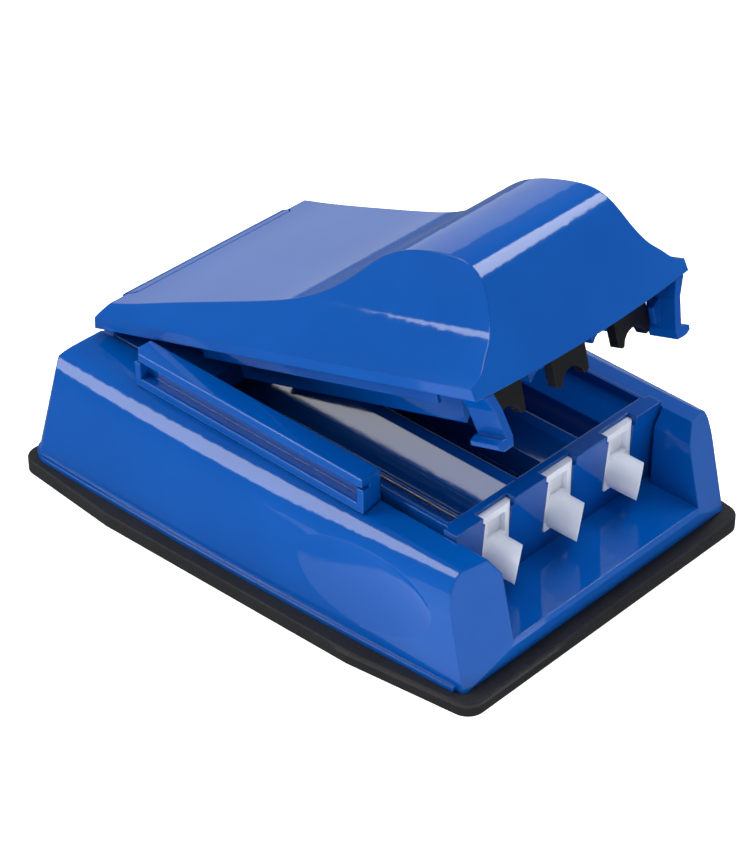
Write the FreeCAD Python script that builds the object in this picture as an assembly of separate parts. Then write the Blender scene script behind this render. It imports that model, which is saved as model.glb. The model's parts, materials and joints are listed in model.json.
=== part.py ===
import FreeCAD, Part
import math
import os
from FreeCAD import Vector, Placement, Rotation

# Three-tube filling machine.  A moulded base on a rubber mat carries a hopper
# with three chambers and three outlet nozzles.  A spoon slide with an outside
# grip pushes three half-pipe spoons through the nozzles.  A hinged lid with
# press bars closes the chambers and holds the tubes on the nozzles.
#
# Frame: +X to the right, -Y to the nozzle side (front), +Z up.
# Origin: centre of the mat's footprint, on its underside.

os.makedirs("parts", exist_ok=True)

# ---------------------------------------------------------------- driving sizes
MAT_FRONT, MAT_REAR = -62.5, 62.5          # mat ends along Y
MAT_TOP = 3.2                              # mat thickness
MAT_HALF_FRONT = 42.25                     # half width at the front corners
MAT_HALF_KNEE_1, MAT_KNEE_1_Y = 46.4, -33.4
MAT_HALF_KNEE_2, MAT_KNEE_2_Y = 49.1, 33.7
MAT_HALF_REAR = 47.4
MAT_CORNER_R = 4.0

PITCH = 18.6                               # chamber and nozzle spacing
LANES = {"left": -PITCH, "middle": 0.0, "right": PITCH}
AXIS_Z = 19.4                              # height of the nozzle and spoon axis
SIDES = (-1, 1)

CASE_WALL = 2.2
CREASE_Z = 20.5                            # top of the plain side wall
DECK_EDGE_X, DECK_EDGE_Z = 36.0, 28.5      # outer edge of the flat deck
DECK_INNER_X, DECK_INNER_Z = 31.2, 29.6    # inner edge of the deck, beside the hopper
REAR_DECK_Z = 27.6                         # low deck behind the hopper
CASE_FRONT, CASE_REAR = -61.1, 60.6
SHELF_TOP, SHELF_BOTTOM = 11.2, 9.4
CHEEK_INNER_X = 28.6                       # inner faces of the front cheeks
WELL_FRONT, WELL_REAR = -48.3, 41.0        # opening that holds the hopper

HOPPER_HALF = 29.8
HOPPER_TOP = 30.3
HOPPER_BOTTOM = 12.8
WALL_INNER_Y = -43.9                       # inner face of the nozzle wall
WALL_OUTER_Y = -45.6
BLOCK_FRONT_Y = -47.9                      # front faces of the blocks between nozzles
CHAMBER_REAR = 24.5
TROUGH_REAR = 36.6
HOPPER_REAR = 40.6
TROUGH_R = 3.4

NOZZLE_R, NOZZLE_BORE_R = 3.8, 3.4
NOZZLE_PLATE_HALF = 3.87                   # half width of the plate behind a nozzle
SPOON_R, SPOON_SHEET = 3.1, 0.3

HINGE_Y, HINGE_Z = 52.6, 32.9              # lid hinge axis, along X
LID_OPEN = 16.8                            # degrees the lid stands open at rest
LID_REAR_Y, LID_EDGE_Z = 54.85, 32.0       # rear end and lower edge of the closed lid
LID_WALL = 1.6

parts = {}


# ---------------------------------------------------------------- small helpers
def box(x0, x1, y0, y1, z0, z1):
    """Block between three pairs of coordinates."""
    return Part.makeBox(x1 - x0, y1 - y0, z1 - z0, Vector(x0, y0, z0))


def rod(radius, start, end):
    """Round bar from one point to another."""
    axis = Vector(*end) - Vector(*start)
    return Part.makeCylinder(radius, axis.Length, Vector(*start), axis)


def polygon_face(points):
    """Flat face through a closed list of 3-D points."""
    corners = [Vector(*p) for p in points]
    return Part.Face(Part.makePolygon(corners + corners[:1]))


def prism_y(section_xz, y0, y1):
    """Extrude an (x, z) polygon from y0 to y1."""
    face = polygon_face([(x, y0, z) for x, z in section_xz])
    return face.extrude(Vector(0, y1 - y0, 0))


def prism_x(section_yz, x0, x1):
    """Extrude a (y, z) polygon from x0 to x1."""
    face = polygon_face([(x0, y, z) for y, z in section_yz])
    return face.extrude(Vector(x1 - x0, 0, 0))


def prism_z(outline_xy, z0, z1):
    """Extrude an (x, y) polygon from z0 to z1."""
    face = polygon_face([(x, y, z0) for x, y in outline_xy])
    return face.extrude(Vector(0, 0, z1 - z0))


def both_sides(half):
    """Mirror a list of right-hand (x, y) points to make a closed outline."""
    return half + [(-x, y) for x, y in reversed(half)]


def mirrored(shape):
    """Copy of a shape mirrored in the YZ plane."""
    return shape.mirror(Vector(0, 0, 0), Vector(1, 0, 0))


def on_side(shape, side):
    """The right-hand shape itself, or its mirror image for the left."""
    return shape if side > 0 else mirrored(shape)


def smooth(points):
    """Curve through points."""
    curve = Part.BSplineCurve()
    curve.interpolate(points)
    return curve.toShape()


def fused(shapes):
    """One clean solid from several overlapping shapes."""
    first = shapes[0]
    result = first.multiFuse(shapes[1:]) if len(shapes) > 1 else first
    return result.removeSplitter()


def fillet_where(shape, radius, keep):
    """Round every edge whose bounding box passes the test."""
    edges = [edge for edge in shape.Edges if keep(edge.BoundBox)]
    return shape.makeFillet(radius, edges)


def save(name, shape):
    """Keep a node for writing."""
    parts[name] = shape


# ---------------------------------------------------------------- mat
def make_mat():
    half = [
        (MAT_HALF_FRONT, MAT_FRONT),
        (MAT_HALF_KNEE_1, MAT_KNEE_1_Y),
        (MAT_HALF_KNEE_2, MAT_KNEE_2_Y),
        (MAT_HALF_REAR, MAT_REAR),
    ]
    slab = prism_z(both_sides(half), 0, MAT_TOP)

    def corner(b):
        upright = b.ZLength > MAT_TOP * 0.9
        return upright and abs(abs(b.YMin) - MAT_REAR) < 0.01
    slab = fillet_where(slab, MAT_CORNER_R, corner)

    def rim(b):
        return b.ZLength < 0.01 and b.ZMin > MAT_TOP - 0.01
    return fillet_where(slab, 0.4, rim)


# ---------------------------------------------------------------- base case
def case_half_width(y):
    """Half width of the case at its foot: a shallow bulge, widest behind the middle."""
    return 44.1 + 0.043 * y - 0.00035 * y * y


def case_section(y, inset):
    """Cross-section of the case at y, shrunk by inset all round."""
    foot = case_half_width(y) - inset
    crease = foot - 1.7 - 0.018 * y
    shoulder = crease - 0.9
    deck_x = DECK_EDGE_X - inset * 0.5
    deck_z = DECK_EDGE_Z - inset
    crease_z = CREASE_Z - inset * 0.4
    slope = (DECK_INNER_Z - DECK_EDGE_Z) / (DECK_EDGE_X - DECK_INNER_X)
    control_z = deck_z - slope * (shoulder - deck_x)
    top_z = DECK_INNER_Z - inset
    low = MAT_TOP if inset == 0 else MAT_TOP - 1.0

    def point(x, z):
        return Vector(x, y, z)
    edges = [Part.makeLine(point(-foot, low), point(foot, low))]
    edges.append(Part.makeLine(point(foot, low), point(crease, crease_z)))
    curve = Part.BezierCurve()
    curve.setPoles([point(crease, crease_z), point(shoulder, control_z), point(deck_x, deck_z)])
    edges.append(curve.toShape())
    edges.append(Part.makeLine(point(deck_x, deck_z), point(DECK_INNER_X - 4, top_z)))
    edges.append(Part.makeLine(point(DECK_INNER_X - 4, top_z), point(4 - DECK_INNER_X, top_z)))
    edges.append(Part.makeLine(point(4 - DECK_INNER_X, top_z), point(-deck_x, deck_z)))
    curve = Part.BezierCurve()
    curve.setPoles([point(-deck_x, deck_z), point(-shoulder, control_z), point(-crease, crease_z)])
    edges.append(curve.toShape())
    edges.append(Part.makeLine(point(-crease, crease_z), point(-foot, low)))
    return Part.Wire(edges)


def case_loft(inset, y0, y1):
    """Long body of the case between two stations."""
    count = 5
    stations = [y0 + (y1 - y0) * i / (count - 1) for i in range(count)]
    wires = [case_section(y, inset) for y in stations]
    return Part.makeLoft(wires, True, False)


def half_space(points, away):
    """Big wedge bounded by the triangle of three points, on the side of away."""
    a, b, c = [Vector(*p) for p in points]
    normal = (b - a).cross(c - a)
    normal.normalize()
    if normal.dot(Vector(*away) - a) < 0:
        normal = normal * -1
    slab = Part.makeBox(400, 400, 200, Vector(-200, -200, 0))
    slab.Placement = Placement(a, Rotation(Vector(0, 0, 1), normal))
    return slab


def cheek_plane_y(x, z):
    """Front face of a cheek: leans back upwards and sweeps back outwards."""
    return -73.46 + 0.345 * abs(x) + 0.235 * z


def behind_rear_wall():
    """Region to remove at the back: a drafted wall that curls over into the deck."""
    low = (CASE_REAR + 1.1, MAT_TOP - 1)
    crease = (CASE_REAR - 1.8, CREASE_Z)
    top = (CASE_REAR - 6.4, DECK_INNER_Z)

    def point(place, dy=0.0, dz=0.0):
        return Vector(-80, place[0] + dy, place[1] + dz)
    curl = Part.BezierCurve()
    curl.setPoles([point(crease), Vector(-80, CASE_REAR - 2.6, DECK_INNER_Z - 0.6), point(top)])
    edges = [
        Part.makeLine(point(low), point(crease)),
        curl.toShape(),
        Part.makeLine(point(top), point(top, 0, 6)),
        Part.makeLine(point(top, 0, 6), point(top, 30, 6)),
        Part.makeLine(point(top, 30, 6), point(low, 30 - 7.5, 0)),
        Part.makeLine(point(low, 30 - 7.5, 0), point(low)),
    ]
    return Part.Face(Part.Wire(edges)).extrude(Vector(160, 0, 0))


def rounded_rear(half, rear, radius, z):
    """Level outline whose two rear corners are rounded."""
    mid = radius * (1 - math.sqrt(0.5))

    def arc(side):
        points = [(half, rear - radius), (half - mid, rear - mid), (half - radius, rear)]
        if side < 0:
            points = [(-x, y) for x, y in reversed(points)]
        return Part.Arc(*[Vector(x, y, z) for x, y in points]).toShape()
    front = [Vector(-half, -80, z), Vector(half, -80, z)]
    edges = [
        Part.makeLine(front[0], front[1]),
        Part.makeLine(front[1], Vector(half, rear - radius, z)),
        arc(1),
        Part.makeLine(Vector(half - radius, rear, z), Vector(radius - half, rear, z)),
        arc(-1),
        Part.makeLine(Vector(-half, rear - radius, z), front[0]),
    ]
    return Part.Wire(edges)


def rear_corner_block():
    """Tapered block that rounds the rear corners more and more towards the top."""
    low = rounded_rear(45.9, CASE_REAR + 1.3, 5.0, MAT_TOP - 1)
    high = rounded_rear(42.6, CASE_REAR - 2.6, 9.5, 32)
    return Part.makeLoft([low, high], True, True)


def foot_rim():
    """Thin flange round the foot of the case, just above the mat."""
    proud, height = 0.8, 1.2
    rear = CASE_REAR + 1.5
    rows = [-57.0, -38.0, -18.0, 2.0, 22.0, 42.0, rear - 6.0]
    right = [(case_half_width(y) + proud, y) for y in rows]
    half = right[-1][0]

    def at(x, y):
        return Vector(x, y, MAT_TOP)
    turn = 6.0 * (1 - math.sqrt(0.5))
    edges = [
        smooth([at(x, y) for x, y in right]),
        Part.Arc(at(half, rear - 6.0), at(half - turn, rear - turn), at(half - 6.0, rear)).toShape(),
        Part.makeLine(at(half - 6.0, rear), at(6.0 - half, rear)),
        Part.Arc(at(6.0 - half, rear), at(turn - half, rear - turn), at(-half, rear - 6.0)).toShape(),
        smooth([at(-x, y) for x, y in reversed(right)]),
        Part.makeLine(at(-right[0][0], rows[0]), at(right[0][0], rows[0])),
    ]
    return Part.Face(Part.Wire(edges)).extrude(Vector(0, 0, height))


def make_case():
    outer = case_loft(0, -64, 64)
    outer = outer.cut(behind_rear_wall())

    outer = outer.common(rear_corner_block())

    # front: overhanging lip, undercut foot and leaning cheek faces
    outer = outer.cut(box(-60, 60, -80, CASE_FRONT, -10, 60))
    lip_z = 9.6
    outer = outer.cut(half_space(
        [(0, -59.0, MAT_TOP), (10, -59.0, MAT_TOP), (0, CASE_FRONT, lip_z)], (0, -80, 0)))
    for side in SIDES:
        trio = [(side * x, cheek_plane_y(x, z), z) for x, z in ((28, 10), (40, 10), (34, 28))]
        outer = outer.cut(half_space(trio, (side * 34, -90, 15)))

    # open shelf in front of the nozzles
    outer = outer.cut(box(-CHEEK_INNER_X, CHEEK_INNER_X, -70, WELL_FRONT + 1, SHELF_TOP, 40))
    for side in SIDES:
        bevel = prism_y([(CHEEK_INNER_X - 1, 25.4), (CHEEK_INNER_X, 25.4), (31.0, 29.2),
                         (31.0, 40), (CHEEK_INNER_X - 1, 40)], -70, WELL_FRONT + 1)
        outer = outer.cut(on_side(bevel, side))

    # low deck behind the hopper
    outer = outer.cut(box(-28.6, 28.6, WELL_REAR, 80, REAR_DECK_Z, 40))

    # thumb scoops on the long sides
    for side in SIDES:
        outer = outer.cut(on_side(thumb_scoop(), side))

    # well for the hopper
    outer = outer.cut(box(-DECK_INNER_X, DECK_INNER_X, WELL_FRONT, WELL_REAR, SHELF_TOP, 40))

    inner = case_cavity()
    shell = fused([outer, foot_rim()]).cut(inner)
    ledge = box(-DECK_INNER_X, DECK_INNER_X, 35.4, WELL_REAR + 1.8, SHELF_BOTTOM, SHELF_TOP)
    back = box(-DECK_INNER_X - 2, DECK_INNER_X + 2, WELL_REAR, WELL_REAR + 1.8, SHELF_BOTTOM, 27)
    solids = [shell, ledge, back, *case_bosses()]
    shell = fused(solids)
    shell = fused([shell, plinth()] + [hinge_lug(x) for x in LUG_X])
    for x, y, top in CASE_SCREWS:
        shell = shell.cut(rod(1.3, (x, y, MAT_TOP - 1), (x, y, top)))
    for x, y in HOPPER_SCREWS:
        shell = shell.cut(rod(1.3, (x, y, SHELF_BOTTOM - 1), (x, y, SHELF_TOP + 1)))
    shell = shell.cut(rod(HINGE_ROD_R, (-30, HINGE_Y, HINGE_Z), (30, HINGE_Y, HINGE_Z)))
    return shell


def thumb_scoop():
    """Ellipsoid that leaves a shallow oval hollow in the right-hand wall."""
    depth, bulge = 1.5, 3.6
    reach = math.sqrt(1 - ((bulge - depth) / bulge) ** 2)
    ball = Part.makeSphere(1.0)
    matrix = FreeCAD.Matrix()
    matrix.scale(bulge, 17.4 / reach, 9.6 / reach)
    ball = ball.transformGeometry(matrix)
    ball.rotate(Vector(0, 0, 0), Vector(0, 1, 0), -7.0)
    ball.rotate(Vector(0, 0, 0), Vector(0, 0, 1), -3.9)
    y, z = -32.2, 15.6
    wall = case_half_width(y) - 1.1 * (z - MAT_TOP) / (CREASE_Z - MAT_TOP)
    ball.translate(Vector(wall + bulge - depth, y, z))
    return ball


def case_cavity():
    """Hollow inside of the case, open at the bottom."""
    body = case_loft(CASE_WALL, -60, 60)
    rear = box(-60, 60, WELL_FRONT + 5, CASE_REAR - 5.0, 0, 40)
    under_shelf = box(-60, 60, -56.6, WELL_FRONT + 5, 0, SHELF_BOTTOM)
    hollow = body.common(fused([rear, under_shelf]))
    cheeks = []
    for side in SIDES:
        core = box(CHEEK_INNER_X + 1.8, 60, -52.4, WELL_FRONT + 6, 0, 40)
        cheeks.append(on_side(core, side).common(body))
    hollow = fused([hollow] + cheeks)
    lower = box(-28.6, 28.6, WELL_REAR - 2, 80, REAR_DECK_Z - 1.8, 60)
    return hollow.cut(lower)


CASE_SCREWS = [(sx * 24.0, -51.0, SHELF_BOTTOM + 0.4) for sx in SIDES]
CASE_SCREWS += [(sx * 33.0, 47.5, 16.0) for sx in SIDES]
HOPPER_SCREWS = [(sx * PITCH / 2, y) for sx in SIDES for y in (-45.0, 38.6)]
HOPPER_SCREW_R = 0.9
HINGE_ROD_R = 0.75
LUG_X = (-18.4, 0.0, 18.4)


def case_bosses():
    """Pillars for the four screws that hold the bottom plate."""
    bosses = []
    for x, y, top in CASE_SCREWS:
        roof = SHELF_BOTTOM + 0.5 if y < 0 else 26.5
        bosses.append(rod(3.0, (x, y, 5.4), (x, y, roof)))
    return bosses


def plinth():
    """Raised pad on the rear deck that carries the hinge lugs."""
    pad = box(-28.2, 28.2, WELL_REAR + 0.4, 54.4, REAR_DECK_Z - 1, 29.6)

    def corner(b):
        return b.ZLength > 2.5 and b.YMin > 54
    return fillet_where(pad, 3.5, corner)


def hinge_lug(x):
    """One of the three upright ears round the hinge rod."""
    ear = rod(1.5, (x - 2, HINGE_Y, HINGE_Z), (x + 2, HINGE_Y, HINGE_Z))
    root = [(HINGE_Y - 5.5, 29.0), (HINGE_Y + 1.2, 29.0), (HINGE_Y + 1.5, HINGE_Z),
            (HINGE_Y - 0.9, HINGE_Z + 1.2)]
    return fused([ear, prism_x(root, x - 2, x + 2)])


def make_bottom_plate():
    inset = CASE_WALL + 0.5
    rows = [-56.0, -30.0, 0.0, 30.0, 54.0]
    half = [(case_half_width(y) - inset, y) for y in rows]
    half[-1] = (half[-1][0] - 5.5, 55.4)
    half.insert(-1, (case_half_width(48) - inset, 49.0))
    plate = prism_z(both_sides(half), MAT_TOP + 0.05, 5.0)
    for x, y, top in CASE_SCREWS:
        plate = plate.cut(rod(1.4, (x, y, 0), (x, y, 8)))
        plate = plate.cut(rod(2.7, (x, y, 0), (x, y, 4.0)))
    return plate


def screw(x, y, head_z, head_r, head_h, shank_r, tip_z):
    """Pan-head screw that points up from below."""
    head = rod(head_r, (x, y, head_z), (x, y, head_z + head_h))
    shank = rod(shank_r, (x, y, head_z + head_h - 0.1), (x, y, tip_z))
    slot = box(x - 0.25, x + 0.25, y - head_r * 0.6, y + head_r * 0.6, head_z - 1, head_z + 0.4)
    cross = box(x - head_r * 0.6, x + head_r * 0.6, y - 0.25, y + 0.25, head_z - 1, head_z + 0.4)
    return fused([head, shank]).cut(slot).cut(cross)


# ---------------------------------------------------------------- hopper
def funnel_section(centre, outer_side):
    """(x, z) polygon of one chamber above its trough; outer_side is -1, 0 or 1."""
    low_z = 25.2
    inner = 3.7
    right = [(inner, low_z), (7.3, 29.7), (9.2, HOPPER_TOP)]
    left = [(-8.9, HOPPER_TOP), (-inner, low_z)]
    edge = HOPPER_HALF - 1.0 - PITCH
    if outer_side > 0:
        right = [(inner, low_z), (edge, 28.4), (edge, HOPPER_TOP)]
    if outer_side < 0:
        left = [(-edge, HOPPER_TOP), (-edge, 28.4), (-inner, low_z)]
    ring = [(-inner, AXIS_Z)] + [(inner, AXIS_Z)] + right
    top = HOPPER_TOP + 5
    ring += [(right[-1][0], top), (left[0][0], top)] + left
    return [(centre + x, z) for x, z in ring]


def make_hopper():
    body = box(-HOPPER_HALF, HOPPER_HALF, WALL_OUTER_Y, HOPPER_REAR, HOPPER_BOTTOM, HOPPER_TOP)
    # front blocks, leaning slightly forward at the top
    lean = [(BLOCK_FRONT_Y, HOPPER_TOP), (WALL_OUTER_Y + 1, HOPPER_TOP),
            (WALL_OUTER_Y + 1, SHELF_TOP), (BLOCK_FRONT_Y + 1.5, SHELF_TOP)]
    front = prism_x(lean, 0.2 - DECK_INNER_X, DECK_INNER_X - 0.2)
    edge = prism_x([(BLOCK_FRONT_Y, HOPPER_TOP), (WALL_OUTER_Y + 1, HOPPER_TOP),
                    (WALL_OUTER_Y + 1, 27.0), (BLOCK_FRONT_Y + 0.3, 27.0)], -HOPPER_HALF, HOPPER_HALF)
    foot = box(-28.2, 28.2, TROUGH_REAR, HOPPER_REAR, SHELF_TOP, HOPPER_BOTTOM + 1)
    body = fused([body, front, edge, foot])
    cuts = []
    for name, centre in LANES.items():
        outer_side = (centre > 0) - (centre < 0)
        cuts.append(prism_y(funnel_section(centre, outer_side), WALL_INNER_Y, CHAMBER_REAR))
        tunnel = [(-3.7, AXIS_Z), (3.7, AXIS_Z), (3.7, 25.2), (-3.7, 25.2)]
        cuts.append(prism_y([(centre + x, z) for x, z in tunnel], CHAMBER_REAR - 1, TROUGH_REAR))
        cuts.append(rod(TROUGH_R, (centre, WALL_INNER_Y, AXIS_Z), (centre, TROUGH_REAR, AXIS_Z)))
        cuts.append(box(centre - 1.3, centre + 1.3, -38.0, 33.5, HOPPER_BOTTOM - 1, AXIS_Z))
        # seat for the nozzle: notch in the front blocks and a round hole
        seat = NOZZLE_PLATE_HALF + 0.03
        cuts.append(box(centre - seat, centre + seat, -60, WALL_OUTER_Y, SHELF_TOP + 4.6, 40))
        cuts.append(box(centre - 4.6, centre + 4.6, -60, WALL_OUTER_Y, 28.5, 40))
        cuts.append(rod(NOZZLE_R + 0.1, (centre, -60, AXIS_Z), (centre, WALL_OUTER_Y, AXIS_Z)))
        cuts.append(rod(NOZZLE_R - 0.05, (centre, -50, AXIS_Z), (centre, WALL_INNER_Y, AXIS_Z)))
    # coring from below, between the troughs
    for middle in (-PITCH / 2, PITCH / 2):
        pocket = [(-4.7, 0), (-4.7, 21.5), (0, 27.8), (4.7, 21.5), (4.7, 0)]
        cuts.append(prism_y([(middle + x, z) for x, z in pocket], WALL_INNER_Y + 0.6, TROUGH_REAR))
    for side in SIDES:
        pocket = [(23.2, 0), (23.2, 21.7), (28.6, 25.2), (28.6, 0)]
        cuts.append(on_side(prism_y(pocket, WALL_INNER_Y + 0.6, TROUGH_REAR), side))
    for x, y in HOPPER_SCREWS:
        cuts.append(rod(HOPPER_SCREW_R + 0.1, (x, y, 0), (x, y, 19.0)))
    for cutter in cuts:
        body = body.cut(cutter)
    return body


# ---------------------------------------------------------------- nozzle
def make_nozzle(centre):
    frame_front = WALL_OUTER_Y - 1.6
    half, bottom, top = NOZZLE_PLATE_HALF, SHELF_TOP + 4.7, 29.5
    plate = box(-half, half, frame_front, WALL_OUTER_Y, bottom, top)
    cap = box(-4.5, 4.5, frame_front + 0.5, WALL_OUTER_Y, top - 0.9, top)
    window = prism_y([(-2.6, 23.0), (2.6, 23.0), (2.6, 27.9), (-2.6, 27.9)],
                     frame_front - 1, WALL_OUTER_Y - 0.4)
    collar_y = BLOCK_FRONT_Y - 0.1
    along = Vector(0, 1, 0)
    # parallel behind, then a slight taper that leads the filter tube on
    taper_y, tip_y, tip_r = -50.6, -60.0, NOZZLE_R - 0.18
    tube = rod(NOZZLE_R, (0, taper_y, AXIS_Z), (0, frame_front + 0.5, AXIS_Z))
    taper = Part.makeCone(tip_r, NOZZLE_R, taper_y - tip_y, Vector(0, tip_y, AXIS_Z), along)
    collar = Part.makeCone(NOZZLE_R + 0.02, half - 0.01, frame_front - collar_y + 0.5,
                           Vector(0, collar_y, AXIS_Z), along)
    stub_y = WALL_OUTER_Y - 0.5
    stub = Part.makeCone(NOZZLE_R - 0.1, NOZZLE_R - 0.25, WALL_INNER_Y - stub_y,
                         Vector(0, stub_y, AXIS_Z), along)
    # the mouth is cut on the slant: its left side and its top are longer
    slant, lean = 0.66, 0.15
    mouth_y = -53.2
    cutter = half_space([(0, mouth_y, AXIS_Z), (10, mouth_y + 10 * slant, AXIS_Z),
                         (0, mouth_y - 10 * lean, AXIS_Z + 10)], (0, -90, AXIS_Z))
    body = fused([plate.cut(window), cap, tube, taper.cut(cutter), collar, stub])
    body = body.cut(rod(NOZZLE_BORE_R, (0, -80, AXIS_Z), (0, 0, AXIS_Z)))
    body.translate(Vector(centre, 0, 0))
    return body


# ---------------------------------------------------------------- spoon slide
YOKE_Y0, YOKE_Y1 = 20.0, 36.0
YOKE_Z0, YOKE_Z1 = 11.4, 12.4
ARM_X0, ARM_X1 = 30.0, 31.0
YOKE_X1 = 24.0                             # the yoke ends under the right-hand spoon
FLANGE_Z0, FLANGE_Z1 = 30.0, 31.0
SPOON_FIX_Y = 28.0
FLANGE_X1 = 33.55
GRIP_FIX_X, GRIP_FIX_Y = 32.6, (23.0, 33.0)
GRIP_X0, GRIP_X1 = 31.7, 37.0
GRIP_Y0, GRIP_Y1 = -28.8, 36.0
GRIP_TOP = 37.1


def make_yoke():
    plate = box(-ARM_X1, YOKE_X1, YOKE_Y0, YOKE_Y1, YOKE_Z0, YOKE_Z1)
    arm = box(-ARM_X1, -ARM_X0, YOKE_Y0, YOKE_Y1, YOKE_Z0, FLANGE_Z1)
    flange = box(-FLANGE_X1, -ARM_X0, YOKE_Y0, YOKE_Y1, FLANGE_Z0, FLANGE_Z1)
    pieces = [plate, arm, flange]
    for centre in LANES.values():
        pieces.append(box(centre - 0.95, centre + 0.95, 25.0, 31.0, YOKE_Z1 - 0.2, AXIS_Z - SPOON_R))
    yoke = fused(pieces)
    for centre in LANES.values():
        yoke = yoke.cut(rod(0.65, (centre, SPOON_FIX_Y, 5), (centre, SPOON_FIX_Y, 18)))
    for y in GRIP_FIX_Y:
        yoke = yoke.cut(rod(0.6, (-GRIP_FIX_X, y, 28), (-GRIP_FIX_X, y, 33)))
        yoke = yoke.cut(rod(0.9, (-GRIP_FIX_X, y, 28), (-GRIP_FIX_X, y, FLANGE_Z0 + 0.6)))
    return yoke


def make_spoon(centre):
    """Open half pipe with a raked tip."""
    tip, tail = -43.0, 31.5
    pipe = rod(SPOON_R, (0, tip, AXIS_Z), (0, tail, AXIS_Z))
    pipe = pipe.cut(rod(SPOON_R - SPOON_SHEET, (0, tip - 1, AXIS_Z), (0, tail + 1, AXIS_Z)))
    pipe = pipe.cut(box(-10, 10, tip - 5, tail + 5, AXIS_Z, 40))
    rake = prism_x([(tip - 1, AXIS_Z + 1), (tip + 4.0, AXIS_Z + 1), (tip - 0.5, AXIS_Z - SPOON_R - 1),
                    (tip - 1, AXIS_Z - SPOON_R - 1)], -10, 10)
    pipe = pipe.cut(rake)
    pipe = pipe.cut(rod(0.65, (0, SPOON_FIX_Y, 10), (0, SPOON_FIX_Y, 18)))
    pipe.translate(Vector(centre, 0, 0))
    return pipe


def make_plug(centre):
    """Plunger block that fills the rear end of a spoon."""
    plug = rod(2.75, (0, CHAMBER_REAR + 0.3, AXIS_Z), (0, 31.2, AXIS_Z))
    plug = plug.cut(rod(0.65, (0, SPOON_FIX_Y, 10), (0, SPOON_FIX_Y, 20.6)))
    plug.translate(Vector(centre, 0, 0))
    return plug


def make_grip():
    """Outside grip: a long rail with a finger channel in its outer face, drawn at +X."""
    floor_in, floor_out = 29.85, 28.65
    x0, x1 = GRIP_X0, GRIP_X1
    body = prism_y([(x0, floor_in), (x1 - 0.4, floor_out + 0.08), (x1 - 0.4, 35.3), (x1, 35.3),
                    (x1, GRIP_TOP), (x0, GRIP_TOP)], GRIP_Y0, GRIP_Y1)
    channel = prism_y([(x0 + 2.5, 30.6), (x1 + 1, 30.6), (x1 + 1, 35.3), (x0 + 2.5, 35.3)],
                      GRIP_Y0 + 1.7, GRIP_Y1 - 1.7)
    body = body.cut(channel)
    # the ends of the channel stop short of the top flange
    for y0, y1 in ((GRIP_Y0 - 1, GRIP_Y0 + 2), (GRIP_Y1 - 2, GRIP_Y1 + 1)):
        body = body.cut(box(x0 + 3.0, x1 + 1, y0, y1, 34.3, 35.3))
    # chamfered rear corner of the flange
    nip = prism_z([(x1 - 1.8, GRIP_Y1 + 0.1), (x1 + 0.1, GRIP_Y1 - 1.8), (x1 + 1, GRIP_Y1 + 1)],
                  35.3, 40)
    body = body.cut(nip)
    # seat for the yoke flange
    body = body.cut(box(x0 - 1, FLANGE_X1 + 0.05, YOKE_Y0 - 0.1, YOKE_Y1 + 1, 20, FLANGE_Z1 + 0.02))
    for y in GRIP_FIX_Y:
        body = body.cut(rod(0.5, (GRIP_FIX_X, y, 28), (GRIP_FIX_X, y, 35.2)))

    def long_top(b):
        return b.YLength > 50 and b.ZMin > GRIP_TOP - 0.01
    return fillet_where(body, 0.35, long_top)


# ---------------------------------------------------------------- lid
def lid_point(forward, up):
    """(y, z) of a place on the closed lid, from its rear lower corner."""
    return LID_REAR_Y - forward, LID_EDGE_Z + up


def open_lid(shape):
    """Turn a piece from the closed lid's place to its place at rest."""
    shape.rotate(Vector(0, HINGE_Y, HINGE_Z), Vector(1, 0, 0), -LID_OPEN)
    return shape


LID_FRONT = 113.7                          # foremost point of the lip, at the middle
LID_BOW_R = 205.0                          # the lip bows forward in plan
LID_FACE_TOP = (107.95, 15.6)              # where the bowed front face meets the hump
# side profile of the lid's top, (forward, up) from the rear lower corner
LID_TOP_CURVE = [(4.6, 5.4), (11.0, 5.7), (20.0, 6.5), (30.0, 7.4), (40.0, 8.3), (50.0, 9.3),
                 (58.0, 10.5), (66.0, 12.8), (73.6, 16.4), (80.0, 19.9), (86.0, 21.9),
                 (93.0, 22.6), (99.0, 22.4), (103.2, 21.4), (106.2, 19.0), (108.0, 15.5),
                 (109.3, 12.4), (111.4, 7.4), (113.6, 2.2), (114.5, 0.0)]
# side sections of the lid at its rear and front ends, (half width, up)
LID_FLARE_REAR = [(31.1, 2.5), (29.3, 5.2), (27.4, 6.4), (25.4, 8.0), (23.8, 9.6), (22.0, 11.4),
             (20.5, 14.0), (19.2, 17.8), (18.3, 22.6), (17.9, 27.0)]
LID_FLARE_FRONT = [(31.1, 2.5), (29.4, 3.0), (27.4, 4.4), (25.4, 6.6), (23.3, 8.7), (21.8, 11.0),
                   (20.4, 14.0), (19.2, 17.8), (18.3, 22.6), (17.9, 27.0)]


def inset_line(points, distance):
    """Points moved towards the inside of the lid, square to the line they lie on."""
    moved = []
    for i, (f, u) in enumerate(points):
        f0, u0 = points[max(i - 1, 0)]
        f1, u1 = points[min(i + 1, len(points) - 1)]
        run = math.hypot(f1 - f0, u1 - u0)
        moved.append((f + distance * (u1 - u0) / run, u - distance * (f1 - f0) / run))
    return moved


def lid_profile_solid(curve_points, rear, front, half):
    """Side profile extruded across: a curve closed by straight ends (forward, up)."""
    def at(place):
        y, z = lid_point(*place)
        return Vector(-half, y, z)
    corners = [at(p) for p in [curve_points[-1]] + front + rear + [curve_points[0]]]
    edges = [smooth([at(p) for p in curve_points])]
    edges += [Part.makeLine(a, b) for a, b in zip(corners, corners[1:])]
    return Part.Face(Part.Wire(edges)).extrude(Vector(2 * half, 0, 0))


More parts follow.
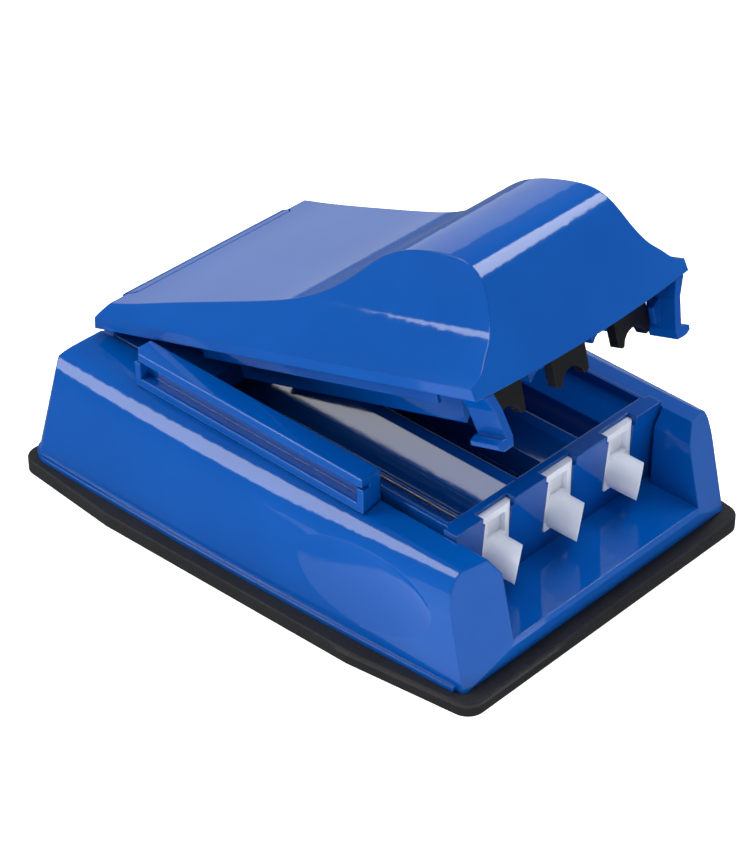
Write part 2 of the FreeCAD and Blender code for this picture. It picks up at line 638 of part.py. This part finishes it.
def lid_flare_wire(section, y, inset, low):
    """Closed cross-section of the lid at y, shrunk by inset."""
    def at(x, up):
        return Vector(x, y, LID_EDGE_Z + up)
    rows = [(x - inset, u) for x, u in section]
    (low_x, low_u), (high_x, high_u) = rows[0], rows[-1]
    edges = [
        Part.makeLine(at(-low_x, low), at(low_x, low)),
        Part.makeLine(at(low_x, low), at(low_x, low_u)),
        smooth([at(x, u) for x, u in rows]),
        Part.makeLine(at(high_x, high_u), at(-high_x, high_u)),
        smooth([at(-x, u) for x, u in reversed(rows)]),
        Part.makeLine(at(-low_x, low_u), at(-low_x, low)),
    ]
    return Part.Wire(edges)


def lid_flare_solid(inset, low):
    """Full length of the lid between its rear and front cross-sections."""
    front = lid_flare_wire(LID_FLARE_FRONT, lid_point(LID_FRONT + 1, 0)[0], inset, low)
    rear = lid_flare_wire(LID_FLARE_REAR, LID_REAR_Y + 1, inset, low)
    return Part.makeLoft([rear, front], True, True)


def lid_bow():
    """Block whose front face is straight across at the hump and bowed at the lip."""
    face_f, face_u = LID_FACE_TOP
    lean = (LID_FRONT - face_f) / face_u
    half = 40.0
    sag = half * half / (2 * LID_BOW_R)

    def outline(up, sagitta):
        y, z = lid_point(face_f + lean * (face_u - up), up)
        y_back = LID_REAR_Y + 20
        left, right = Vector(-half, y + sagitta, z), Vector(half, y + sagitta, z)
        back_left, back_right = Vector(-half, y_back, z), Vector(half, y_back, z)
        return Part.Wire([
            Part.Arc(left, Vector(0, y, z), right).toShape(),
            Part.makeLine(right, back_right),
            Part.makeLine(back_right, back_left),
            Part.makeLine(back_left, left),
        ])
    low = outline(-1.0, sag * (face_u + 1.0) / face_u)
    middle = outline(face_u, 0.02)
    high = outline(face_u + 24.0, 0.02)
    lower = Part.makeLoft([low, middle], True, True)
    upper = Part.makeLoft([middle, high], True, True)
    return lower.fuse(upper)


def lid_outer():
    """The lid as a full block."""
    profile = lid_profile_solid(LID_TOP_CURVE, [(0.0, 0.0), (0.9, 2.6)], [], 60)
    return profile.common(lid_flare_solid(0, -1)).common(lid_bow())


def lid_hollow():
    """The space inside the lid, open below."""
    curve = inset_line(LID_TOP_CURVE, LID_WALL)[:-3]
    rear = [(LID_WALL, -3.0), (LID_WALL, 2.4)]
    front = [(109.2, 4.0), (109.4, -3.0)]
    profile = lid_profile_solid(curve, rear, front, 60)
    return profile.common(lid_flare_solid(LID_WALL, -3))


def hinge_notch(gap):
    """Region at the rear edge of the lid that the hinge cover fills."""
    y_front, y_jog = LID_REAR_Y - 6.4 + gap, LID_REAR_Y - 5.4 + gap
    wide, narrow = 23.6 - gap, 22.6 - gap
    outline = [(narrow, y_front), (wide, y_jog), (wide, LID_REAR_Y + 5)]
    return prism_z(both_sides(outline), 20, 60)


def make_lid_shell():
    shell = lid_outer().cut(lid_hollow())
    shell = shell.cut(hinge_notch(0))
    bosses = []
    for x, f in FRAME_SCREWS:
        y, z = lid_point(f, 2.2)
        stem = rod(2.2, (x, y, z), (x, y, z + 24))
        bosses.append(stem.common(lid_outer()))
    shell = fused([shell] + bosses)
    for x, f in FRAME_SCREWS:
        y, z = lid_point(f, 0)
        shell = shell.cut(rod(0.9, (x, y, z), (x, y, z + 5.0)))
    return open_lid(shell)


FRAME_SCREWS = [(sx * PITCH / 2, f) for sx in SIDES for f in (22.0, 88.0)]
PRESS_PLATE_UP = (0.5, 2.0)
BAR_FORWARD = (33.4, 97.0)


def make_hinge_cover():
    """Rear strip of the lid with the knuckles that turn on the hinge rod."""
    hollow = [(9.0, -2.0), (1.5, -2.0), (1.5, 1.6), (4.4, 4.0), (9.0, 4.1)]
    strip = [(10.0, 5.6), (4.6, 5.4), (3.0, 5.15), (2.0, 4.6), (1.4, 3.7), (1.0, 0.0), (10.0, 0.0)]
    skin = prism_x([lid_point(f, u) for f, u in strip], -40, 40).common(hinge_notch(0.2))
    skin = skin.cut(prism_x([lid_point(f, u) for f, u in hollow], -40, 40))
    knuckles = []
    for side in SIDES:
        x0, x1 = sorted((side * 2.7, side * 15.8))
        barrel = rod(1.6, (x0, HINGE_Y, HINGE_Z), (x1, HINGE_Y, HINGE_Z))
        web = box(x0, x1, HINGE_Y - 1.2, HINGE_Y + 1.2, HINGE_Z, LID_EDGE_Z + 3.8)
        knuckles.append(fused([barrel, web]).common(lid_outer()))
        knuckles.append(barrel)
    cover = fused([skin] + knuckles)
    for x in LUG_X:
        slot = box(x - 2.6, x + 2.6, HINGE_Y - 6, HINGE_Y + 5, LID_EDGE_Z - 2, LID_EDGE_Z + 3.1)
        cover = cover.cut(slot)
    bore = rod(HINGE_ROD_R + 0.08, (-30, HINGE_Y, HINGE_Z), (30, HINGE_Y, HINGE_Z))
    return open_lid(cover.cut(bore))


def make_press_frame():
    """Plate in the lid with its three press bars and two side skirts."""
    low, high = PRESS_PLATE_UP
    y_front, z_low = lid_point(103.8, low)
    y_rear, z_high = lid_point(8.0, high)
    plate = box(-28.3, 28.3, y_front, y_rear, z_low, z_high)
    pieces = [plate]
    bar_front, _ = lid_point(BAR_FORWARD[1], 0)
    bar_rear, _ = lid_point(BAR_FORWARD[0], 0)
    for centre in LANES.values():
        bar = box(centre - 3.1, centre + 3.1, bar_front, bar_rear, 21.1, z_low + 0.5)
        hollow = rod(3.1, (centre, bar_front - 1, AXIS_Z), (centre, bar_rear + 1, AXIS_Z))
        pieces.append(bar.cut(hollow))
    for side in SIDES:
        skirt = prism_x([
            (lid_point(98.0, 0)[0], LID_EDGE_Z - 3.7), (CHAMBER_REAR - 0.6, LID_EDGE_Z - 3.7),
            (CHAMBER_REAR - 0.6, z_low + 0.4), (lid_point(103.8, 0)[0], z_low + 0.4),
            (lid_point(103.8, 0)[0], LID_EDGE_Z - 1.2), (lid_point(98.0, 0)[0], LID_EDGE_Z - 1.2)],
            27.4, 28.3)
        pieces.append(on_side(skirt, side))
    frame = fused(pieces)
    for x, f in FRAME_SCREWS:
        y, z = lid_point(f, 0)
        frame = frame.cut(rod(1.0, (x, y, z - 1), (x, y, z + 3)))
    return open_lid(frame)


def make_hook():
    """Right-hand snap hook that hangs from the lid's front corner."""
    y_front, _ = lid_point(111.6, 0)
    y_root, _ = lid_point(108.3, 0)
    y_rear, _ = lid_point(104.3, 0)
    z = LID_EDGE_Z
    root = box(26.8, 29.3, y_root, y_rear, z - 0.3, z + 2.2)
    blade = prism_y([(29.2, z - 0.15), (27.2, z - 3.8), (25.9, z - 9.9), (24.1, z - 9.9),
                     (25.4, z - 3.8), (26.8, z - 0.15)], y_front, y_rear)
    lip = prism_y([(24.1, z - 9.8), (27.0, z - 9.8), (28.2, z - 10.4), (28.2, z - 11.3),
                   (26.8, z - 12.2), (24.4, z - 12.0)], y_front, y_rear)
    nip = prism_x([(y_front - 1, z - 14), (y_front + 1.6, z - 14), (y_front - 1, z - 10.4)], 20, 30)
    rib = prism_y([(25.6, z - 3.8), (24.9, z - 8.6), (23.2, z - 8.6), (23.2, z - 5.2)],
                  y_front + 4.0, y_front + 5.3)
    return fused([root, blade, lip, rib]).cut(nip)


def make_clamp(centre):
    """Soft saddle that presses a tube onto its nozzle."""
    y_mid = BLOCK_FRONT_Y - 1.75
    top = LID_EDGE_Z + 0.4
    outline = [(-5.0, top), (-4.9, 27.2), (-4.7, 22.0), (-4.0, 21.6), (4.0, 21.6), (4.7, 22.0),
               (4.9, 27.2), (5.0, top)]
    pad = prism_y([(centre + x, z) for x, z in outline], y_mid - 1.2, y_mid + 1.2)
    pad = pad.cut(rod(NOZZLE_R + 0.2, (centre, -80, AXIS_Z), (centre, 0, AXIS_Z)))
    return pad.cut(rod(3.2, (centre, -80, AXIS_Z + 1.8), (centre, 0, AXIS_Z + 1.8)))


# ---------------------------------------------------------------- build all
def build():
    save("anti_slip_mat", make_mat())
    save("base_case", make_case())
    save("bottom_plate", make_bottom_plate())
    base_screws = [screw(x, y, MAT_TOP + 0.1, 2.4, 0.75, 1.2, top - 0.5) for x, y, top in CASE_SCREWS]
    save("base_screws", Part.makeCompound(base_screws))
    save("hopper", make_hopper())
    fixings = [screw(x, y, SHELF_BOTTOM - 1.4, 2.2, 1.4, HOPPER_SCREW_R, 18.0) for x, y in HOPPER_SCREWS]
    save("hopper_screws", Part.makeCompound(fixings))
    for name, centre in LANES.items():
        save("nozzle_" + name, make_nozzle(centre))
    save("hinge_rod", rod(HINGE_ROD_R, (-20.7, HINGE_Y, HINGE_Z), (20.7, HINGE_Y, HINGE_Z)))

    save("slide_yoke", make_yoke())
    for name, centre in LANES.items():
        save("spoon_" + name, make_spoon(centre))
        save("spoon_plug_" + name, make_plug(centre))
    fixings = [screw(x, SPOON_FIX_Y, YOKE_Z0 - 1.0, 1.3, 1.0, 0.6, 20.2) for x in LANES.values()]
    save("spoon_screws", Part.makeCompound(fixings))
    save("side_grip", mirrored(make_grip()))
    fixings = []
    for y in GRIP_FIX_Y:
        head = rod(0.85, (-GRIP_FIX_X, y, FLANGE_Z0), (-GRIP_FIX_X, y, FLANGE_Z0 + 0.6))
        shank = rod(0.45, (-GRIP_FIX_X, y, FLANGE_Z0 + 0.5), (-GRIP_FIX_X, y, 35.0))
        fixings.append(fused([head, shank]))
    save("grip_screws", Part.makeCompound(fixings))

    save("lid_shell", make_lid_shell())
    save("hinge_cover", make_hinge_cover())
    save("press_frame", make_press_frame())
    fixings = []
    for x, f in FRAME_SCREWS:
        y, z = lid_point(f, PRESS_PLATE_UP[0])
        head = rod(1.8, (x, y, z - 0.9), (x, y, z))
        shank = rod(0.85, (x, y, z - 0.1), (x, y, z + 4.2))
        fixings.append(open_lid(fused([head, shank])))
    save("frame_screws", Part.makeCompound(fixings))
    save("lid_hook_right", open_lid(make_hook()))
    save("lid_hook_left", open_lid(mirrored(make_hook())))
    for name, centre in LANES.items():
        save("tube_clamp_" + name, open_lid(make_clamp(centre)))


build()
for name, shape in parts.items():
    box_size = shape.BoundBox
    print("%-20s solids %d valid %s volume %9.1f  x %.1f..%.1f y %.1f..%.1f z %.1f..%.1f" % (
        name, len(shape.Solids), shape.isValid(), shape.Volume, box_size.XMin, box_size.XMax,
        box_size.YMin, box_size.YMax, box_size.ZMin, box_size.ZMax))
    shape.exportStep("parts/%s.step" % name)
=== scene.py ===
"""Looks of the three-tube filling machine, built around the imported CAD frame."""
import json
import math

import bpy
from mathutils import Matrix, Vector

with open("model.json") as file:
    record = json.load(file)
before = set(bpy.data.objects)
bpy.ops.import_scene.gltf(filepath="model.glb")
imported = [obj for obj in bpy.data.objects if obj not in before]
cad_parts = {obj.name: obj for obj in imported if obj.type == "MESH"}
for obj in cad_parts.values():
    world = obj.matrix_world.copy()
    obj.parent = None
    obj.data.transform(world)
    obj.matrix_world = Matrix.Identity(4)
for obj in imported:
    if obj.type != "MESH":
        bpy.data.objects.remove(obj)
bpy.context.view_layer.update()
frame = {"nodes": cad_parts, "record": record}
nodes = frame["nodes"]

# All lengths are in metres.
PLASTIC_IOR = 1.5
EVEN = (1.0, 1.0, 1.0)                     # the same stretch along every axis
PEEL_HEIGHT = 0.00004                      # orange peel of moulded plastic
GRAIN_HEIGHT = 0.0001                      # grain of rubber
LINE_HEIGHT = 0.00002                      # drawing lines of steel
BEVEL_SAMPLES = 6
NOISE_LOW, NOISE_HIGH = 0.3, 0.7           # most of a noise value lies between these

FLOOR_SIZE = 3.0
FLOOR_Z = -0.0001                          # just under the mat
FLOOR_WHITE = (0.9, 0.9, 0.9, 1.0)
FLOOR_GLOW = 0.7

CAMERA_PLACE = (-0.34385, -0.3235, 0.3525)
CAMERA_AZIMUTH, CAMERA_ELEVATION = math.radians(-46.5), math.radians(35.4)
CAMERA_LENS, CAMERA_SENSOR = 117.4, 36.0   # millimetres
CAMERA_CLIP = 0.01

LIGHT_AIM = (0, 0, 0.03)                   # middle of the machine
BOUNCE_AIM = (-0.14, -0.15, 0.0)           # on the table, in front of the machine
BOUNCE_TURN = (math.pi, 0.0, math.radians(43.5))
STUDIO_COLOUR, STUDIO_STRENGTH = (0.93, 0.96, 1.0, 1.0), 0.20


# ---------------------------------------------------------------- materials
def node_material(name):
    """New node material with its tree and its Principled shader."""
    material = bpy.data.materials.new(name)
    material.use_nodes = True
    tree = material.node_tree
    shader = tree.nodes["Principled BSDF"]
    return material, tree, shader


def coordinates(tree, stretch):
    """Object coordinates, multiplied by a factor along each axis."""
    place = tree.nodes.new("ShaderNodeTexCoord")
    mapping = tree.nodes.new("ShaderNodeMapping")
    mapping.inputs["Scale"].default_value = stretch
    tree.links.new(place.outputs["Object"], mapping.inputs["Vector"])
    return mapping.outputs["Vector"]


def noise(tree, vector, scale, detail=3.0, rough=0.5):
    """Cloudy value between 0 and 1; the scale counts its features per metre."""
    texture = tree.nodes.new("ShaderNodeTexNoise")
    texture.inputs["Scale"].default_value = scale
    texture.inputs["Detail"].default_value = detail
    texture.inputs["Roughness"].default_value = rough
    tree.links.new(vector, texture.inputs["Vector"])
    return texture.outputs["Fac"]


def ranged(tree, value, low, high):
    """Middle part of a noise value, stretched to the range from low to high."""
    spread = tree.nodes.new("ShaderNodeMapRange")
    spread.inputs["From Min"].default_value = NOISE_LOW
    spread.inputs["From Max"].default_value = NOISE_HIGH
    spread.inputs["To Min"].default_value = low
    spread.inputs["To Max"].default_value = high
    tree.links.new(value, spread.inputs["Value"])
    return spread.outputs["Result"]


def two_tone(tree, value, dark, light):
    """Colour that wanders between two tones."""
    mix = tree.nodes.new("ShaderNodeMix")
    mix.data_type = "RGBA"
    mix.inputs["A"].default_value = (*dark, 1.0)
    mix.inputs["B"].default_value = (*light, 1.0)
    tree.links.new(value, mix.inputs["Factor"])
    return mix.outputs["Result"]


def surface_normal(tree, height, distance, strength, edge_radius):
    """Fine bump over softly rounded edges."""
    bump = tree.nodes.new("ShaderNodeBump")
    bump.inputs["Distance"].default_value = distance
    bump.inputs["Strength"].default_value = strength
    tree.links.new(height, bump.inputs["Height"])
    bevel = tree.nodes.new("ShaderNodeBevel")
    bevel.samples = BEVEL_SAMPLES
    bevel.inputs["Radius"].default_value = edge_radius
    tree.links.new(bevel.outputs["Normal"], bump.inputs["Normal"])
    return bump.outputs["Normal"]


def moulded_plastic(name, dark, light, roughness, edge_radius):
    """Glossy moulded plastic: faint flow tone, uneven gloss and a slight orange peel."""
    material, tree, shader = node_material(name)
    vector = coordinates(tree, EVEN)
    tone = ranged(tree, noise(tree, vector, scale=38.0), 0.0, 1.0)
    tree.links.new(two_tone(tree, tone, dark, light), shader.inputs["Base Color"])
    patches = noise(tree, vector, scale=140.0, detail=4.0)
    gloss = ranged(tree, patches, roughness * 0.85, roughness * 1.2)
    tree.links.new(gloss, shader.inputs["Roughness"])
    peel = noise(tree, vector, scale=420.0, detail=2.0)
    normal = surface_normal(tree, peel, PEEL_HEIGHT, strength=0.35, edge_radius=edge_radius)
    tree.links.new(normal, shader.inputs["Normal"])
    shader.inputs["IOR"].default_value = PLASTIC_IOR
    return material


def rubber(name, dark, light, roughness, grain, edge_radius):
    """Matt rubber with a fine grain."""
    material, tree, shader = node_material(name)
    vector = coordinates(tree, EVEN)
    cloud = noise(tree, vector, scale=90.0, detail=6.0, rough=0.7)
    tone = ranged(tree, cloud, 0.0, 1.0)
    tree.links.new(two_tone(tree, tone, dark, light), shader.inputs["Base Color"])
    fine = noise(tree, vector, scale=grain)
    gloss = ranged(tree, fine, roughness - 0.08, roughness + 0.1)
    tree.links.new(gloss, shader.inputs["Roughness"])
    normal = surface_normal(tree, fine, GRAIN_HEIGHT, strength=0.5, edge_radius=edge_radius)
    tree.links.new(normal, shader.inputs["Normal"])
    shader.inputs["IOR"].default_value = PLASTIC_IOR
    return material


def milky_plastic(name):
    """Translucent white plastic of the nozzles."""
    material, tree, shader = node_material(name)
    vector = coordinates(tree, EVEN)
    tone = ranged(tree, noise(tree, vector, scale=120.0), 0.0, 1.0)
    colour = two_tone(tree, tone, (0.68, 0.72, 0.82), (0.78, 0.82, 0.92))
    tree.links.new(colour, shader.inputs["Base Color"])
    gloss = ranged(tree, noise(tree, vector, scale=300.0), 0.3, 0.42)
    tree.links.new(gloss, shader.inputs["Roughness"])
    peel = noise(tree, vector, scale=700.0)
    normal = surface_normal(tree, peel, PEEL_HEIGHT, strength=0.3, edge_radius=0.0002)
    tree.links.new(normal, shader.inputs["Normal"])
    shader.inputs["Subsurface Weight"].default_value = 0.35
    shader.inputs["Subsurface Scale"].default_value = 0.0015
    shader.inputs["Subsurface Radius"].default_value = (1.0, 1.0, 1.2)
    return material


def drawn_steel(name, stretch):
    """Steel with drawing lines along one axis."""
    material, tree, shader = node_material(name)
    vector = coordinates(tree, stretch)
    lines = noise(tree, vector, scale=60.0, detail=6.0, rough=0.7)
    tone = ranged(tree, lines, 0.0, 1.0)
    colour = two_tone(tree, tone, (0.50, 0.51, 0.53), (0.68, 0.69, 0.71))
    tree.links.new(colour, shader.inputs["Base Color"])
    tree.links.new(ranged(tree, lines, 0.24, 0.4), shader.inputs["Roughness"])
    normal = surface_normal(tree, lines, LINE_HEIGHT, strength=0.4, edge_radius=0.0001)
    tree.links.new(normal, shader.inputs["Normal"])
    shader.inputs["Metallic"].default_value = 1.0
    return material


# one look for each material slot of the record
LOOKS = {
    "mat_rubber": rubber(
        "mat_rubber", dark=(0.010, 0.010, 0.012), light=(0.016, 0.016, 0.019), roughness=0.66,
        grain=1500.0, edge_radius=0.0004),
    "blue_case": moulded_plastic(
        "blue_case", dark=(0.0003, 0.074, 0.36), light=(0.0008, 0.086, 0.40), roughness=0.07,
        edge_radius=0.0005),
    "blue_lid": moulded_plastic(
        "blue_lid", dark=(0.0003, 0.074, 0.36), light=(0.0008, 0.086, 0.40), roughness=0.07,
        edge_radius=0.0005),
    "blue_hopper": moulded_plastic(
        "blue_hopper", dark=(0.0003, 0.062, 0.32), light=(0.0008, 0.074, 0.36), roughness=0.08,
        edge_radius=0.00035),
    "black_plastic": moulded_plastic(
        "black_plastic", dark=(0.008, 0.008, 0.009), light=(0.013, 0.013, 0.014), roughness=0.4,
        edge_radius=0.0003),
    "black_rubber": rubber(
        "black_rubber", dark=(0.004, 0.004, 0.005), light=(0.008, 0.008, 0.009), roughness=0.34,
        grain=900.0, edge_radius=0.0003),
    "nozzle_clear": milky_plastic("nozzle_clear"),
    "steel_sheet": drawn_steel("steel_sheet", stretch=(1.0, 0.05, 1.0)),
    "zinc_screw": drawn_steel("zinc_screw", stretch=(1.0, 1.0, 0.1)),
}


def dress_nodes():
    """Give every CAD node the look of its material slot."""
    for part in frame["record"]["subparts"]:
        mesh = nodes[part["node"]].data
        mesh.materials.clear()
        mesh.materials.append(LOOKS[part["material_slot"]])


# ---------------------------------------------------------------- floor, light and camera
def make_floor():
    """Plain white table that is not mirrored in the gloss."""
    bpy.ops.mesh.primitive_plane_add(size=FLOOR_SIZE, location=(0, 0, FLOOR_Z))
    floor = bpy.context.object
    floor.name = "floor"
    material, _, shader = node_material("floor_white")
    shader.inputs["Base Color"].default_value = FLOOR_WHITE
    shader.inputs["Roughness"].default_value = 0.9
    shader.inputs["Emission Color"].default_value = (1.0, 1.0, 1.0, 1.0)
    shader.inputs["Emission Strength"].default_value = FLOOR_GLOW
    floor.data.materials.append(material)
    floor.visible_glossy = False


def area_light(name, direction, distance, size, radiance, aim=LIGHT_AIM):
    """Soft panel of a (width, height) that the camera itself does not see."""
    width, height = size
    data = bpy.data.lights.new(name, "AREA")
    data.shape = "RECTANGLE"
    data.size = width
    data.size_y = height
    data.energy = radiance * math.pi * width * height
    lamp = bpy.data.objects.new(name, data)
    bpy.context.scene.collection.objects.link(lamp)
    towards = Vector(direction).normalized()
    lamp.location = Vector(aim) + towards * distance
    lamp.rotation_euler = towards.to_track_quat("Z", "Y").to_euler()
    lamp.visible_camera = False
    return lamp


def make_lights():
    """Three panels that are mirrored in the gloss, two fills, the table's bounce and the room."""
    # softbox over the left shoulder, mirrored in the shoulder and the chamber wall
    area_light("shoulder_softbox", direction=(-0.58, 0.55, 0.60), distance=0.9,
               size=(0.36, 0.68), radiance=5.4)
    # low panel behind, mirrored in the lid's flat top
    area_light("back_panel", direction=(0.60, 0.78, 0.10), distance=1.1,
               size=(1.4, 0.50), radiance=0.55)
    # strip mirrored in the front of the hump
    area_light("strip_light", direction=(0.59, -0.17, 0.78), distance=0.9,
               size=(0.55, 0.16), radiance=7.0)
    # large fills that add colour without gloss
    front_fill = area_light("front_fill", direction=(-0.45, -0.55, 1.2), distance=1.2,
                            size=(0.8, 0.8), radiance=2.0)
    front_fill.visible_glossy = False
    top_fill = area_light("top_fill", direction=(0.25, -0.05, 1.0), distance=1.2,
                          size=(0.9, 0.9), radiance=2.9)
    top_fill.visible_glossy = False
    # light that the white table throws up at the front
    bounce = area_light("table_bounce", direction=(0.0, 0.0, 1.0), distance=0.002,
                        size=(0.30, 0.26), radiance=0.55, aim=BOUNCE_AIM)
    bounce.rotation_euler = BOUNCE_TURN
    world = bpy.data.worlds.new("studio")
    bpy.context.scene.world = world
    world.use_nodes = True
    background = world.node_tree.nodes["Background"]
    background.inputs["Color"].default_value = STUDIO_COLOUR
    background.inputs["Strength"].default_value = STUDIO_STRENGTH


def make_camera():
    """Long lens from the front left, looking down."""
    data = bpy.data.cameras.new("camera")
    data.sensor_width = CAMERA_SENSOR
    data.lens = CAMERA_LENS
    data.clip_start = CAMERA_CLIP
    camera = bpy.data.objects.new("camera", data)
    bpy.context.scene.collection.objects.link(camera)
    camera.location = CAMERA_PLACE
    camera.rotation_euler = (math.pi / 2 - CAMERA_ELEVATION, 0.0, CAMERA_AZIMUTH)
    bpy.context.scene.camera = camera


dress_nodes()
make_floor()
make_lights()
make_camera()
bpy.context.scene.view_settings.view_transform = "Standard"
